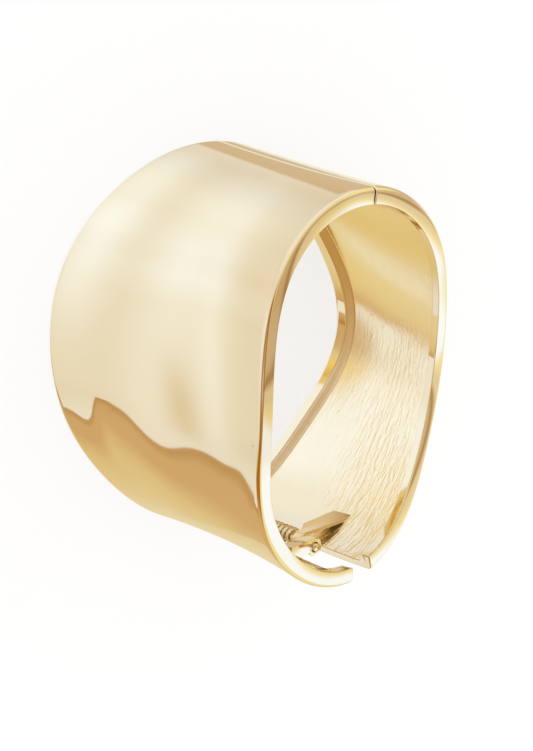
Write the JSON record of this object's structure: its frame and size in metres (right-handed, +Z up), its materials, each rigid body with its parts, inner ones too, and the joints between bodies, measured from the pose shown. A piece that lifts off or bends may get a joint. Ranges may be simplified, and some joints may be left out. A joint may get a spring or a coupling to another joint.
{
  "type": "hinged cuff bracelet",
  "caption": "Hinged gold-plated cuff bracelet: a broad front shell and a narrow back shell, closed by a coil spring at the hinge.",
  "frame": {"origin": "centre of the ground under the cuff, which lies on its flat lower rim", "axes": "+X towards the hinge and -X towards the opening seam, -Y towards the broad front, +Y towards the narrow back, +Z up"},
  "size_m": [0.0646, 0.0606, 0.042],
  "materials": {
    "polished_gold": "mirror polished gold plating, brushed and cast inside",
    "hinge_gold": "gold plated, plain",
    "spring_gold": "gold plated wire"
  },
  "bodies": {
    "back": {"back_half": "polished_gold", "hinge_pin": "hinge_gold", "hinge_spring": "spring_gold"},
    "front": {"front_half": "polished_gold"}
  },
  "joints": [
    {"name": "hinge", "type": "hinge", "parent": "back", "child": "front", "pos_m": [0.0291, 0.00342, 0.015], "axis": [0, 0.314, 0.9494], "range_deg": [0, 45], "stiffness_Nm_per_rad": 0.03, "springref_deg": -85.94}
  ]
}
